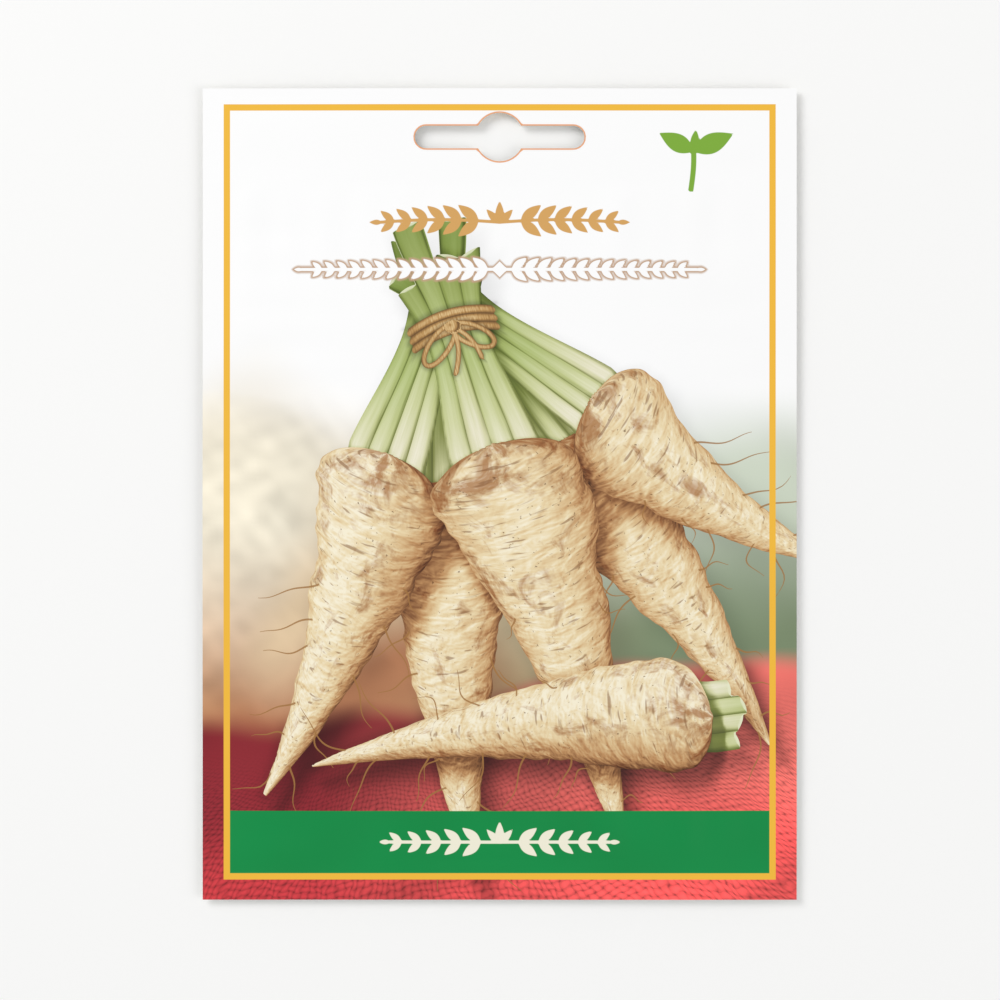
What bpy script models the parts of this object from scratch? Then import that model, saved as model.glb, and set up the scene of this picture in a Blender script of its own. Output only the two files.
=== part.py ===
"""A seed packet lying on its back, face up: a flat pouch sealed on four sides, with a hang slot, and its seeds.

Axes: +X to the right of the printed face, +Y towards the hang slot, +Z up, out of the printed face.
The origin is under the middle of the packet, on the surface it lies on. Blender units are metres.
"""

import math
import random

import bmesh
import bpy
from mathutils import Euler, Vector

# Outline of the packet.
WIDTH = 0.112
HEIGHT = 0.153
SIDE_SEAL = 0.0055
BOTTOM_SEAL = 0.0075
HEADER = 0.0180

# The two webs and the space between them.
WEB = 0.0002
SEAL_GAP = 0.0003
RIM_LIFT = 0.0012
FRONT_RISE = 0.0024
LOW_BELLY = 0.16
BACK_FLATNESS = 1.8

# Hang slot: two arms with round ends, and a round middle.
SLOT_LENGTH = 0.0320
SLOT_ARM = 0.00428
SLOT_ROUND = 0.00914
SLOT_DROP = 0.0092
CUTTER_DEPTH = 0.010

# Seeds: a low heap, with single seeds standing out of it.
HEAP_CENTRE_Y = -0.020
HEAP_HALF_WIDTH = 0.0185
HEAP_HALF_LENGTH = 0.0225
HEAP_HEIGHT = 0.0015
HEAP_RINGS = 5
HEAP_SPOKES = 28
SEED_COUNT = 150
SEED_SIZE = (0.0022, 0.0013, 0.0012)
SEED_SHRINK_AT_RIM = 0.94
DRAW = 5

# How finely the pocket is divided.
COLUMNS = 20
ROWS = 26
ARC_STEPS = 8

POCKET_HALF_WIDTH = WIDTH / 2 - SIDE_SEAL
POCKET_LOW = -HEIGHT / 2 + BOTTOM_SEAL
POCKET_HIGH = HEIGHT / 2 - HEADER
POCKET_MIDDLE = (POCKET_LOW + POCKET_HIGH) / 2
POCKET_HALF_LENGTH = (POCKET_HIGH - POCKET_LOW) / 2


def clear_scene():
    for obj in list(bpy.data.objects):
        bpy.data.objects.remove(obj)


def material(name, colour, roughness):
    made = bpy.data.materials.new(name)
    made.use_nodes = True
    shader = made.node_tree.nodes["Principled BSDF"]
    shader.inputs["Base Color"].default_value = (*colour, 1.0)
    shader.inputs["Roughness"].default_value = roughness
    shader.inputs["Metallic"].default_value = 0.0
    return made


def object_from(bm, name, finish=None):
    mesh = bpy.data.meshes.new(name)
    bm.to_mesh(mesh)
    bm.free()
    obj = bpy.data.objects.new(name, mesh)
    bpy.context.scene.collection.objects.link(obj)
    if finish:
        mesh.materials.append(finish)
    return obj


def fullness(x, y):
    """0 on the seals and 1 where the pocket is fullest, a little below its middle."""
    u = max(-1.0, min(1.0, x / POCKET_HALF_WIDTH))
    v = max(-1.0, min(1.0, (y - POCKET_MIDDLE) / POCKET_HALF_LENGTH))
    v += LOW_BELLY * (1 - v * v)
    return (1 - u * u) * (1 - v * v)


def back_height(x, y):
    """Underside of the back web: lifted on the seals, and flat on the surface under the pocket."""
    press = min(1.0, BACK_FLATNESS * fullness(x, y))
    return RIM_LIFT * (1 - press) ** 2


def front_height(x, y):
    """Underside of the front web: the seal gap above the back web, and domed over the pocket."""
    return RIM_LIFT + WEB + SEAL_GAP + FRONT_RISE * fullness(x, y)


def steps(low, high, count):
    return [low + (high - low) * i / count for i in range(count + 1)]


def web(name, height, finish):
    """One web: a grid over the whole outline, bent to its height, given its thickness upwards."""
    across = [-WIDTH / 2, *steps(-POCKET_HALF_WIDTH, POCKET_HALF_WIDTH, COLUMNS), WIDTH / 2]
    along = [-HEIGHT / 2, *steps(POCKET_LOW, POCKET_HIGH, ROWS), HEIGHT / 2]
    bm = bmesh.new()
    grid = [[bm.verts.new((x, y, height(x, y))) for x in across] for y in along]
    for lower, upper in zip(grid, grid[1:]):
        for i in range(len(across) - 1):
            bm.faces.new((lower[i], lower[i + 1], upper[i + 1], upper[i]))
    obj = object_from(bm, name, finish)
    thicken = obj.modifiers.new("web_thickness", "SOLIDIFY")
    thicken.thickness = WEB
    thicken.offset = 1.0
    obj.data.shade_smooth()
    return obj


def arc(centre_x, radius, start, end):
    """Points of an arc about a point on the slot's middle line, ends included, angles in degrees."""
    angles = [math.radians(a) for a in steps(start, end, ARC_STEPS)]
    return [Vector((centre_x + radius * math.cos(a), radius * math.sin(a), 0.0)) for a in angles]


def slot_outline():
    """The slot anticlockwise: right end, upper round, left end, lower round."""
    arm = SLOT_ARM / 2
    middle = SLOT_ROUND / 2
    end_x = SLOT_LENGTH / 2 - arm
    meet = math.degrees(math.asin(arm / middle))
    return [
        *arc(end_x, arm, -90, 90),
        *arc(0.0, middle, meet, 180 - meet),
        *arc(-end_x, arm, 90, 270),
        *arc(0.0, middle, 180 + meet, 360 - meet),
    ]


def slot_cutter():
    bm = bmesh.new()
    lift = Vector((0.0, HEIGHT / 2 - SLOT_DROP, -CUTTER_DEPTH / 2))
    face = bm.faces.new([bm.verts.new(point + lift) for point in slot_outline()])
    top = bmesh.ops.extrude_face_region(bm, geom=[face])["geom"]
    moved = [item for item in top if isinstance(item, bmesh.types.BMVert)]
    bmesh.ops.translate(bm, verts=moved, vec=(0.0, 0.0, CUTTER_DEPTH))
    bmesh.ops.recalc_face_normals(bm, faces=bm.faces)
    cutter = object_from(bm, "slot_cutter")
    cutter.hide_render = True
    cutter.display_type = "WIRE"
    return cutter


def punch(obj, cutter):
    cut = obj.modifiers.new("hang_slot", "BOOLEAN")
    cut.operation = "DIFFERENCE"
    cut.object = cutter


def heap_top(share):
    """Height of the heap's core at this share of its radius: a flat dome that falls away at its rim."""
    return HEAP_HEIGHT * (1 - share**2) ** 0.6


def heap_point(share, angle, z):
    x = HEAP_HALF_WIDTH * share * math.cos(angle)
    y = HEAP_CENTRE_Y + HEAP_HALF_LENGTH * share * math.sin(angle)
    return Vector((x, y, z))


def heap_core(base, finish):
    """The packed middle of the heap: rings of points from the rim to the crown, over a flat base."""
    bm = bmesh.new()
    turns = [2 * math.pi * i / HEAP_SPOKES for i in range(HEAP_SPOKES)]
    shares = [math.cos(math.pi / 2 * k / HEAP_RINGS) for k in range(HEAP_RINGS)]
    rings = [[bm.verts.new(heap_point(s, a, base + heap_top(s))) for a in turns] for s in shares]
    crown = bm.verts.new(heap_point(0.0, 0.0, base + heap_top(0.0)))
    bm.faces.new(reversed(rings[0]))
    for lower, upper in zip(rings, rings[1:]):
        for i in range(HEAP_SPOKES):
            j = (i + 1) % HEAP_SPOKES
            bm.faces.new((lower[i], lower[j], upper[j], upper[i]))
    for i in range(HEAP_SPOKES):
        bm.faces.new((rings[-1][i], rings[-1][(i + 1) % HEAP_SPOKES], crown))
    return object_from(bm, "seeds", finish)


def loose_seeds(base):
    """Seeds on a golden-angle spiral over the heap, each half sunk and turned by a seeded draw."""
    draw = random.Random(DRAW)
    golden = math.pi * (3 - math.sqrt(5))
    group = bpy.data.collections.new("loose_seeds")
    bpy.context.scene.collection.children.link(group)
    for i in range(SEED_COUNT):
        share = SEED_SHRINK_AT_RIM * math.sqrt((i + 0.5) / SEED_COUNT)
        place = heap_point(share, i * golden, base + max(heap_top(share), SEED_SIZE[2] / 2))
        bm = bmesh.new()
        bmesh.ops.create_icosphere(bm, subdivisions=1, radius=0.5)
        bmesh.ops.scale(bm, vec=SEED_SIZE, verts=bm.verts)
        turn = Euler((0.0, draw.uniform(-0.35, 0.35), draw.uniform(0.0, math.pi)))
        bmesh.ops.rotate(bm, cent=(0, 0, 0), matrix=turn.to_matrix(), verts=bm.verts)
        bmesh.ops.translate(bm, vec=place, verts=bm.verts)
        seed = object_from(bm, f"seed_{i:03d}")
        bpy.context.scene.collection.objects.unlink(seed)
        group.objects.link(seed)
    return group


def seed_heap(finish):
    """The heap with its seeds joined to it in one body, lying on the back web."""
    base = WEB + SEAL_GAP
    core = heap_core(base, finish)
    group = loose_seeds(base)
    join = core.modifiers.new("join_seeds", "BOOLEAN")
    join.operation = "UNION"
    join.operand_type = "COLLECTION"
    join.collection = group
    bpy.context.view_layer.update()
    graph = bpy.context.evaluated_depsgraph_get()
    joined = bpy.data.meshes.new_from_object(core.evaluated_get(graph))
    core.modifiers.clear()
    core.data = joined
    for seed in list(group.objects):
        bpy.data.objects.remove(seed)
    bpy.data.collections.remove(group)
    return core


def main():
    clear_scene()
    printed = material("printed_laminate", (0.90, 0.89, 0.85), 0.38)
    plain = material("plain_laminate", (0.86, 0.85, 0.80), 0.45)
    seed = material("dry_seed", (0.20, 0.13, 0.06), 0.75)
    front = web("front_web", front_height, printed)
    back = web("back_web", back_height, plain)
    cutter = slot_cutter()
    punch(front, cutter)
    punch(back, cutter)
    seed_heap(seed)


main()
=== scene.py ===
"""Looks of a seed packet: its printed front sheet, its printed back sheet and the seeds between them.

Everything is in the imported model's frame: +X right of the printed face, +Y towards the hang slot, +Z up.
Shapes and print are worked out in millimetres, and turned to metres as they go into a mesh.
"""

import math
from collections import namedtuple
from functools import partial

import bpy
import numpy as np
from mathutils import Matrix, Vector
from mathutils.geometry import delaunay_2d_cdt


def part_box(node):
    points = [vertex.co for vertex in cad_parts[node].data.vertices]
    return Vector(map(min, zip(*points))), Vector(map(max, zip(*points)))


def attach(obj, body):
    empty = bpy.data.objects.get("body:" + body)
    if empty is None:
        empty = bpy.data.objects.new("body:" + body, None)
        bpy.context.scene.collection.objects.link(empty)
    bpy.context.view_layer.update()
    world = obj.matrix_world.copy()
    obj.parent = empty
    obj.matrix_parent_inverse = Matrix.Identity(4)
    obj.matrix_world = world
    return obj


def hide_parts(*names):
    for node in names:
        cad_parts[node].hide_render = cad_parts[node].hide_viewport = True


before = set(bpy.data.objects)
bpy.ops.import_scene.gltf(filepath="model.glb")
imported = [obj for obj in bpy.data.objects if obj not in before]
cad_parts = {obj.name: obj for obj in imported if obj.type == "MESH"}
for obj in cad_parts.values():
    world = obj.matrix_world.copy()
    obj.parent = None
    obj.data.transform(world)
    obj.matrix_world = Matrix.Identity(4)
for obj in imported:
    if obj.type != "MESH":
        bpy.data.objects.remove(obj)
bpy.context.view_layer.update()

MM = 0.001

# The packet's outline and its pocket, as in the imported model.
HALF_WIDTH, HALF_HEIGHT = (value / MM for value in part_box("front_web")[1][:2])
SIDE_SEAL = 5.5
BOTTOM_SEAL = 7.5
HEADER = 18.0
WEB = 0.2
SEAL_GAP = 0.3
SEAL_FILM = 0.02
RIM_LIFT = 1.2
FRONT_RISE = 2.4
LOW_BELLY = 0.16
BACK_FLATNESS = 1.8
POCKET_HALF_WIDTH = HALF_WIDTH - SIDE_SEAL
POCKET_LOW = BOTTOM_SEAL - HALF_HEIGHT
POCKET_HIGH = HALF_HEIGHT - HEADER

# The hang slot: two arms with round ends, and a round middle.
SLOT_LENGTH = 32.0
SLOT_ARM = 4.28
SLOT_ROUND = 9.14
SLOT_Y = HALF_HEIGHT - 9.2

# How finely a sheet is divided: its edge, the slot, and the zones where the print has small shapes.
EDGE_STEP = 0.9
SLOT_STEP = 0.33
INNER_STEP = 2.4
SHARP_ANGLE = 50.0
PRINT_ZONES = (
    ((-44.0, 52.0, -60.0, 39.0), 0.42),
    ((-39.6, 39.6, 39.4, 45.6), 0.32),
    ((-25.0, 25.0, 46.4, 56.0), 0.28),
    ((28.0, 44.0, 56.6, 71.0), 0.34),
    ((-24.0, 24.0, -70.2, -61.0), 0.28),
    ((-21.0, 5.0, 18.0, 36.0), 0.30),
)

# Small departures from the even pillow: puckers off the seals, dents from handling, and a lazy rim.
PUCKER = 0.085
PUCKER_REACH = 6.0
DENT = 0.05
RIM_SWAY = 0.16

# The print's layout: frame line, band and the places of the ornaments.
FRAME_HALF_WIDTH = 51.45
FRAME_HIGH = 72.9
FRAME_LOW = -72.1
FRAME_LINE = 1.2
BAND_TOP = -59.7
SPRIG_Y = 51.2
RUNNER_Y = 42.3
GARLAND_Y = -65.6
SEEDLING = (36.0, 58.0)
BAND_GREENS = ("#00843F", "#009349")
INK_EDGE = 0.04

# The back's print, with x to the right for someone who looks at the back.
# Panels: middle, size, tint and rule. Calendar rows: height, pale and full tint, first and last month.
RULE = 0.16
MONTHS = 12
BACK_PANELS = (
    ((0.0, 43.0), (86.4, 12.0), "#FFFFFF", "#D8A661"),
    ((0.0, -19.0), (86.4, 36.0), "#F1F6E4", "#9DB77C"),
    ((0.0, -48.0), (86.4, 8.0), "#FFFFFF", "#B9B9B2"),
)
MONTH_CELL = (7.2, 6.0)
MONTH_RULE = BAND_GREENS[0]
CALENDAR = (
    (22.0, "#CFE3B4", "#4E9A3E", 3, 5),
    (16.0, "#F6DFA0", "#EDB02E", 5, 7),
    (10.0, "#F0B7A6", "#D0503E", 9, 12),
)
SOIL_TOP = -21.0
SOIL_LOW = -36.9
STAGES_HALF_WIDTH = 43.1
BACK_ZONES = (((-44.0, 44.0, -38.0, 0.0), 0.40),)

# The picture: a tied bunch of roots on a cloth with one loose root before it, lit from the upper left.
# A root is placed by its crown; tie is how far up its stalks the twine is, and cut is where they end.
Root = namedtuple("Root", "x y heading length half_width bow tie cut")
TIE_X = -9.0
TIE_Y = 32.0
TIE_HEADING = 286.0
TIE_SHIFT = 0.10
LIGHT_X = -0.62
LIGHT_Y = 0.78
SHADOW_DROP = (2.6, -3.2)
STALKS = 4
PRINT_EDGE = (-0.05, 0.06)

# What lies behind the bunch. A haze colour comes in between two heights, the far root's between two lengths.
HAZE_LEFT = (("#F1E6CF", 24.0, 2.0), ("#DEC4A0", -2.0, -22.0), ("#B87A55", -22.0, -38.0))
HAZE_RIGHT = (("#CFD8C6", 22.0, 0.0), ("#7B8B6C", 0.0, -26.0))
FAR_ROOT = (("#C98F62", 22.0, 66.0),)
CLOTH_REDS = ("#86222B", "#F2766C", "#E64448")
CLOTH_TOP = -43.0
THREAD_PITCH = 0.50
PITCH_GROWTH = 0.024
THREAD_COVER = 0.86

# The twine round the stalks, its bow and the rootlets.
TWINE_BEND = 0.024
TWINE_PITCH = 0.82
TWINE_HALF_WIDTH = 3 * TWINE_PITCH
TWINE_HALF_LENGTH = 8.6
STRAND = 0.5
KNOT_RADIUS = 1.5
# Each side of the bow: side, its loop's slope, half length and half width, its end's slope, length and bow.
BOWS = (
    (-1.0, 40.0, 4.4, 1.8, 78.0, 9.0, 0.8),
    (1.0, 38.0, 4.2, 1.8, 62.0, 8.0, -0.8),
)
# Rootlets: share of the root where they start, and span; least and greatest length, spread and bow.
HAIRS_A_SIDE = 6
HAIRS_FROM = 0.30
HAIRS_SPAN = 0.67
HAIR_RANGE = ((4.0, 35.0, -1.6), (13.0, 68.0, 1.6))
HAIR_ROOM = 0.7
HAIR_DRAW = 44


def tied_root(heading, tie, length, half_width, bow, overhang):
    """A root whose stalks run straight back from its crown through the tie, a little to its own side."""
    turn = math.radians(heading)
    across = math.radians(TIE_HEADING + 90)
    shift = TIE_SHIFT * (heading - TIE_HEADING)
    x = TIE_X + shift * math.cos(across) + tie * math.cos(turn)
    y = TIE_Y + shift * math.sin(across) + tie * math.sin(turn)
    return Root(x, y, heading, length, half_width, bow, tie, tie + overhang)


BUNCH = (
    tied_root(273.0, 29.0, 76.0, 15.5, -2.0, 17.5),
    tied_root(306.0, 29.0, 70.0, 15.0, 2.5, 12.0),
    tied_root(250.0, 25.0, 69.0, 15.0, 3.5, 13.0),
    tied_root(326.0, 27.0, 56.0, 13.5, -3.5, 14.0),
    tied_root(288.0, 24.0, 80.0, 17.0, 2.0, 18.0),
    Root(40.0, -42.0, 187.0, 76.0, 13.0, -3.0, 60.0, 9.0),
)
BLURRED_ROOT = Root(-50.0, 19.0, 264.0, 84.0, 23.0, 0.0, 30.0, 0.0)

# The loose seeds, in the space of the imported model's heap.
SEED_COUNT = 620
SEED_SIZE = np.array((1.9, 1.15, 1.0))
SEED_RINGS = 7
SEED_SIDES = 15
SEED_DRAW = 5
GOLDEN_ANGLE = math.pi * (3 - math.sqrt(5))
HEAP_Y = -20.0
HEAP_HALF_WIDTH = 18.5
HEAP_HALF_LENGTH = 22.5
HEAP_HEIGHT = 1.5
HEAP_FLOOR = WEB + 0.1
HEAP_SPREAD = 0.97

# The camera and the lights. The packet's middle is at this pixel of the photo's frame.
PHOTO_PIXELS = 1000
PHOTO_CENTRE = (499.65, 494.0)
MM_PER_PIXEL = 0.18855
LENS = 100.0
SENSOR = 36.0
SKY = 0.56
FLOOR_REACH = 12.0
PANELS = (
    ("key", (-0.75, 0.65, 1.05), 0.7, 8.5),
    ("fill", (0.95, -0.35, 0.95), 0.9, 4.0),
)


def linear(code):
    """An sRGB hex colour as linear red, green, blue and alpha."""
    parts = [int(code[i:i + 2], 16) / 255 for i in (1, 3, 5)]
    return (*[c / 12.92 if c <= 0.04045 else ((c + 0.055) / 1.055) ** 2.4 for c in parts], 1.0)


def smooth(low, high, value):
    """0 up to low and 1 from high on, with an even S between them; low may be the larger."""
    share = np.clip((value - low) / (high - low), 0.0, 1.0)
    return share * share * (3 - 2 * share)


def mottle(x, y, wavelength, seed, waves=9):
    """A soft field of about -1 to 1: a sum of sine waves with drawn directions, lengths and phases."""
    draw = np.random.default_rng(seed)
    total = np.zeros(np.shape(x))
    for turn, stretch, phase in draw.uniform((0.0, 0.7, 0.0), (2 * math.pi, 1.5, 2 * math.pi), (waves, 3)):
        run = (x * math.cos(turn) + y * math.sin(turn)) / (wavelength * stretch)
        total += np.sin(2 * math.pi * run + phase)
    return total / math.sqrt(waves)


def turned(x, y, degrees):
    """A point in turned axes: how far along the turned X axis, and how far to its left."""
    angle = np.radians(degrees)
    return x * np.cos(angle) + y * np.sin(angle), y * np.cos(angle) - x * np.sin(angle)


# Shapes of the sheets


def fullness(x, y):
    """0 on the seals and 1 where the pocket is fullest, a little below its middle."""
    u = np.clip(x / POCKET_HALF_WIDTH, -1.0, 1.0)
    v = np.clip((2 * y - POCKET_HIGH - POCKET_LOW) / (POCKET_HIGH - POCKET_LOW), -1.0, 1.0)
    v = v + LOW_BELLY * (1 - v * v)
    return (1 - u * u) * (1 - v * v)


def sway(x, y):
    """The whole packet's lazy bend, the same in both sheets: none in the middle, growing to the rim."""
    share = np.maximum(np.abs(x) / HALF_WIDTH, np.abs(y) / HALF_HEIGHT)
    return RIM_SWAY * share**4 * mottle(x, y, 90.0, 3)


def puckers(x, y, seed):
    """Creases square off each seal: waves along it that rise and die away over a few millimetres."""
    seals = (
        (POCKET_HALF_WIDTH - np.abs(x), y + 7 * np.sign(x), 0.0),
        (POCKET_HIGH - y, x, 40.0),
        (y - POCKET_LOW, x, 90.0),
    )
    total = np.zeros(np.shape(x))
    for depth, run, shift in seals:
        reach = np.clip(depth, 0.0, None) / PUCKER_REACH
        total += reach * np.exp(1 - reach) * mottle(run, np.full(run.shape, shift), 8.5, seed)
    return PUCKER * total


def dents(x, y, seed):
    """Broad, very shallow dents from handling, only where the pocket stands free."""
    return DENT * mottle(x, y, 26.0, seed) * smooth(0.05, 0.5, fullness(x, y))


def front_outer(x, y):
    """Top of the front sheet: the pillow, its thickness, puckers and dents."""
    return front_inner(x, y) + WEB + puckers(x, y, 11) + dents(x, y, 12)


def front_inner(x, y):
    """Underside of the front sheet: the seal gap above the back sheet, and domed over the pocket."""
    return RIM_LIFT + WEB + SEAL_GAP + FRONT_RISE * fullness(x, y) + sway(x, y)


def back_level(x, y):
    """The back sheet's smooth form: up against the front sheet on the seals, flat under the pocket.

    Gives its height and how far it is lifted, 1 on the seals and 0 where it lies flat."""
    full = fullness(x, y)
    lift = (1 - np.minimum(1.0, BACK_FLATNESS * full)) ** 2
    closing = (SEAL_GAP - SEAL_FILM) * smooth(0.12, 0.0, full)
    return (RIM_LIFT + sway(x, y)) * lift + closing, lift


def back_outer(x, y):
    """Underside of the back sheet, with puckers where it is lifted."""
    level, lift = back_level(x, y)
    return level + 0.5 * np.abs(puckers(x, y, 21)) * lift


def back_inner(x, y):
    """Top of the back sheet, its thickness above its smooth form."""
    return back_level(x, y)[0] + WEB


def slot_distance(x, y):
    """Distance to the slot's edge, negative inside: the nearer of its round middle and its bar."""
    beyond = np.maximum(np.abs(x) - (SLOT_LENGTH - SLOT_ARM) / 2, 0.0)
    bar = np.hypot(beyond, y - SLOT_Y) - SLOT_ARM / 2
    middle = np.hypot(x, y - SLOT_Y) - SLOT_ROUND / 2
    return np.minimum(bar, middle)


def slot_loop():
    """Points round the slot, anticlockwise: right end, upper round, left end, lower round."""
    end = (SLOT_LENGTH - SLOT_ARM) / 2
    meet = math.degrees(math.asin(SLOT_ARM / SLOT_ROUND))
    arcs = []
    for centre, radius, start, stop in (
        (end, SLOT_ARM / 2, -90.0, 90.0),
        (0.0, SLOT_ROUND / 2, meet, 180.0 - meet),
        (-end, SLOT_ARM / 2, 90.0, 270.0),
        (0.0, SLOT_ROUND / 2, 180.0 + meet, 360.0 - meet),
    ):
        count = math.ceil(radius * math.radians(stop - start) / SLOT_STEP)
        angles = np.radians(np.linspace(start, stop, count + 1))
        arcs.append(np.stack((centre + radius * np.cos(angles), SLOT_Y + radius * np.sin(angles)), 1))
    loop = []
    for arc, following in zip(arcs, arcs[1:] + arcs[:1]):
        gap = np.linalg.norm(following[0] - arc[-1])
        shares = np.linspace(0, 1, math.ceil(gap / SLOT_STEP) + 1)[1:-1, None]
        loop += [arc, arc[-1] + shares * (following[0] - arc[-1])]
    return np.concatenate(loop)


def rim_loop():
    """Points round the sheet's rectangle, anticlockwise from its lower left corner."""
    corners = np.array([(-1, -1), (1, -1), (1, 1), (-1, 1)]) * (HALF_WIDTH, HALF_HEIGHT)
    sides = []
    for start, stop in zip(corners, np.roll(corners, -1, 0)):
        count = round(np.linalg.norm(stop - start) / EDGE_STEP)
        sides.append(start + np.arange(count)[:, None] / count * (stop - start))
    return np.concatenate(sides)


def lattice(low_x, high_x, low_y, high_y, step):
    """An even grid of points over a rectangle."""
    across = np.linspace(low_x, high_x, round((high_x - low_x) / step) + 1)
    along = np.linspace(low_y, high_y, round((high_y - low_y) / step) + 1)
    return np.stack([values.ravel() for values in np.meshgrid(across, along)], 1)


def sheet_lattice(step, zones):
    """Grid points over the sheet inside its rim, closer in each zone, and none in or at the slot."""
    points = lattice(step - HALF_WIDTH, HALF_WIDTH - step, step - HALF_HEIGHT, HALF_HEIGHT - step, step)
    for (low_x, high_x, low_y, high_y), fine in zones:
        x, y = points.T
        clear = (x < low_x - fine) | (x > high_x + fine) | (y < low_y - fine) | (y > high_y + fine)
        points = np.concatenate((points[clear], lattice(low_x, high_x, low_y, high_y, fine)))
    return points[slot_distance(*points.T) > 0.8 * SLOT_STEP]


def flat_sheet(points):
    """The flat outline with its slot, cut into triangles. The rim and slot loops come first."""
    rim, slot = rim_loop(), slot_loop()
    flat = np.concatenate((rim, slot, points))
    first = len(rim)
    ring = [(first + i, first + (i + 1) % len(slot)) for i in range(len(slot))]
    triangles = np.array(delaunay_2d_cdt(flat.tolist(), ring, [], 0, 1e-7)[2])
    triangles = triangles[slot_distance(*flat[triangles].mean(1).T) > 0]
    a, b, c = flat[triangles].transpose(1, 0, 2)
    clockwise = np.linalg.det(np.stack((b - a, c - a), 1)) < 0
    triangles[clockwise] = triangles[clockwise][:, ::-1]
    return flat, triangles


def wall(top, low, count, first, outward):
    """Quads that join a loop of one face to the same loop of the other."""
    here = first + np.arange(count)
    there = first + (np.arange(count) + 1) % count
    quads = np.stack((low + here, low + there, top + there, top + here), 1)
    return quads if outward else quads[:, ::-1]


def show(name, data):
    """A new object at the origin for a mesh, a lamp or a lens."""
    piece = bpy.data.objects.new(name, data)
    bpy.context.scene.collection.objects.link(piece)
    return piece


def corner_values(items, name, count):
    """One whole number of each of these mesh items."""
    values = np.zeros(count, np.int32)
    items.foreach_get(name, values)
    return values


def bake_map(mesh, points):
    """The map that a bake uses: the printed side at full height, and the other faces small beside it.

    The edge's two rims stand a little apart in it."""
    corners = corner_values(mesh.loops, "vertex_index", len(mesh.loops))
    sizes = corner_values(mesh.polygons, "loop_total", len(mesh.polygons))
    slots = np.repeat(corner_values(mesh.polygons, "material_index", len(mesh.polygons)), sizes)
    x, y, z = points[corners].T
    low = np.array(((0.005, 0.005), (0.74, 0.005), (0.74, 0.36)))[slots]
    size = np.array(((0.72, 0.985), (0.24, 0.33), (0.24, 0.33)))[slots]
    place = low + size * (np.stack((x / HALF_WIDTH, y / HALF_HEIGHT), 1) + 1) / 2
    place += 0.004 * ((slots == 2) & (z > 1.8))[:, None] * np.sign((x, y)).T
    mesh.uv_layers.new(name="OFBake").uv.foreach_set("vector", place.astype(np.float32).ravel())


def sheet_mesh(name, outer, inner, zones, outer_up, finishes):
    """A closed sheet with its slot: the printed side finely divided, the inner side coarsely, and an edge.

    Both sides are flat outlines raised to their own height by a function of x and y."""
    fine, fine_faces = flat_sheet(sheet_lattice(EDGE_STEP, zones))
    rough, rough_faces = flat_sheet(sheet_lattice(INNER_STEP, ()))
    points = np.concatenate((
        np.column_stack((fine, outer(*fine.T))),
        np.column_stack((rough, inner(*rough.T))),
    ))
    rim, slot = len(rim_loop()), len(slot_loop())
    below = len(fine)
    rough_faces = rough_faces + below
    if outer_up:
        top, low = 0, below
        rough_faces = rough_faces[:, ::-1]
    else:
        top, low = below, 0
        fine_faces = fine_faces[:, ::-1]
    walls = np.concatenate((wall(top, low, rim, 0, True), wall(top, low, slot, rim, False)))
    mesh = bpy.data.meshes.new(name)
    mesh.from_pydata((points * MM).tolist(), [], fine_faces.tolist() + rough_faces.tolist() + walls.tolist())
    for finish in finishes:
        mesh.materials.append(finish)
    slots = np.repeat((0, 1, 2), (len(fine_faces), len(rough_faces), len(walls)))
    mesh.polygons.foreach_set("material_index", slots.astype(np.int32))
    bake_map(mesh, points)
    mesh.shade_smooth()
    mesh.set_sharp_from_angle(angle=math.radians(SHARP_ANGLE))
    mesh.update()
    return show(name, mesh), points


# What the print shows, as fields over the sheet


def blend(first, second, share):
    """Mixes two colours, or arrays of them, by a share at each point."""
    share = np.asarray(share)[:, None]
    return np.asarray(first) * (1 - share) + np.asarray(second) * share


def washed(code, level, washes):
    """A colour with others laid over it in turn, each as a level crosses that colour's own span."""
    colour = linear(code)
    for over, start, stop in washes:
        colour = blend(colour, linear(over), smooth(start, stop, level))
    return colour


def haze_colours(x, y, side):
    """Soft haze under white, cream on the left and sage on the right, with a far root and a faint net."""
    level = y + 4 * mottle(x, y, 46.0, 32)
    haze = blend(washed("#FFFFFF", level, HAZE_LEFT), washed("#FFFFFF", level, HAZE_RIGHT), side)
    across, along, depth = root_fields(x, y, BLURRED_ROOT)
    bright = (1.0 - 0.15 * across) * (1 + 0.05 * mottle(x, 2 * y, 7.0, 35))
    far_root = washed("#F5EDD8", along, FAR_ROOT) * bright[:, None]
    tinted = smooth(24.0, 6.0, y)
    haze = blend(haze, far_root, smooth(-5.0, 6.0, depth) * tinted * 0.85)
    net = np.maximum(mottle(x + 0.7 * y, 0.2 * y, 6.0, 37), mottle(0.2 * x, y - 0.6 * x, 5.0, 38))
    return haze * (1 + tinted * (0.05 * mottle(x, y, 17.0, 36) + 0.045 * (1 - side) * net))[:, None]


def cloth_colours(x, y, side, near):
    """Red cloth in soft folds: dark on the left, light on the right, and deeper towards the viewer."""
    dark, light, deep = (linear(code) for code in CLOTH_REDS)
    cloth = blend(blend(dark, light, side), deep, (0.4 + 0.35 * side) * smooth(16.0, 34.0, near))
    fold = 0.5 + 0.5 * np.sin(near / 6.0 + x / 17.0 + 1.3 * mottle(x, y, 40.0, 34))
    return cloth * (0.84 + 0.36 * fold)[:, None]


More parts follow.
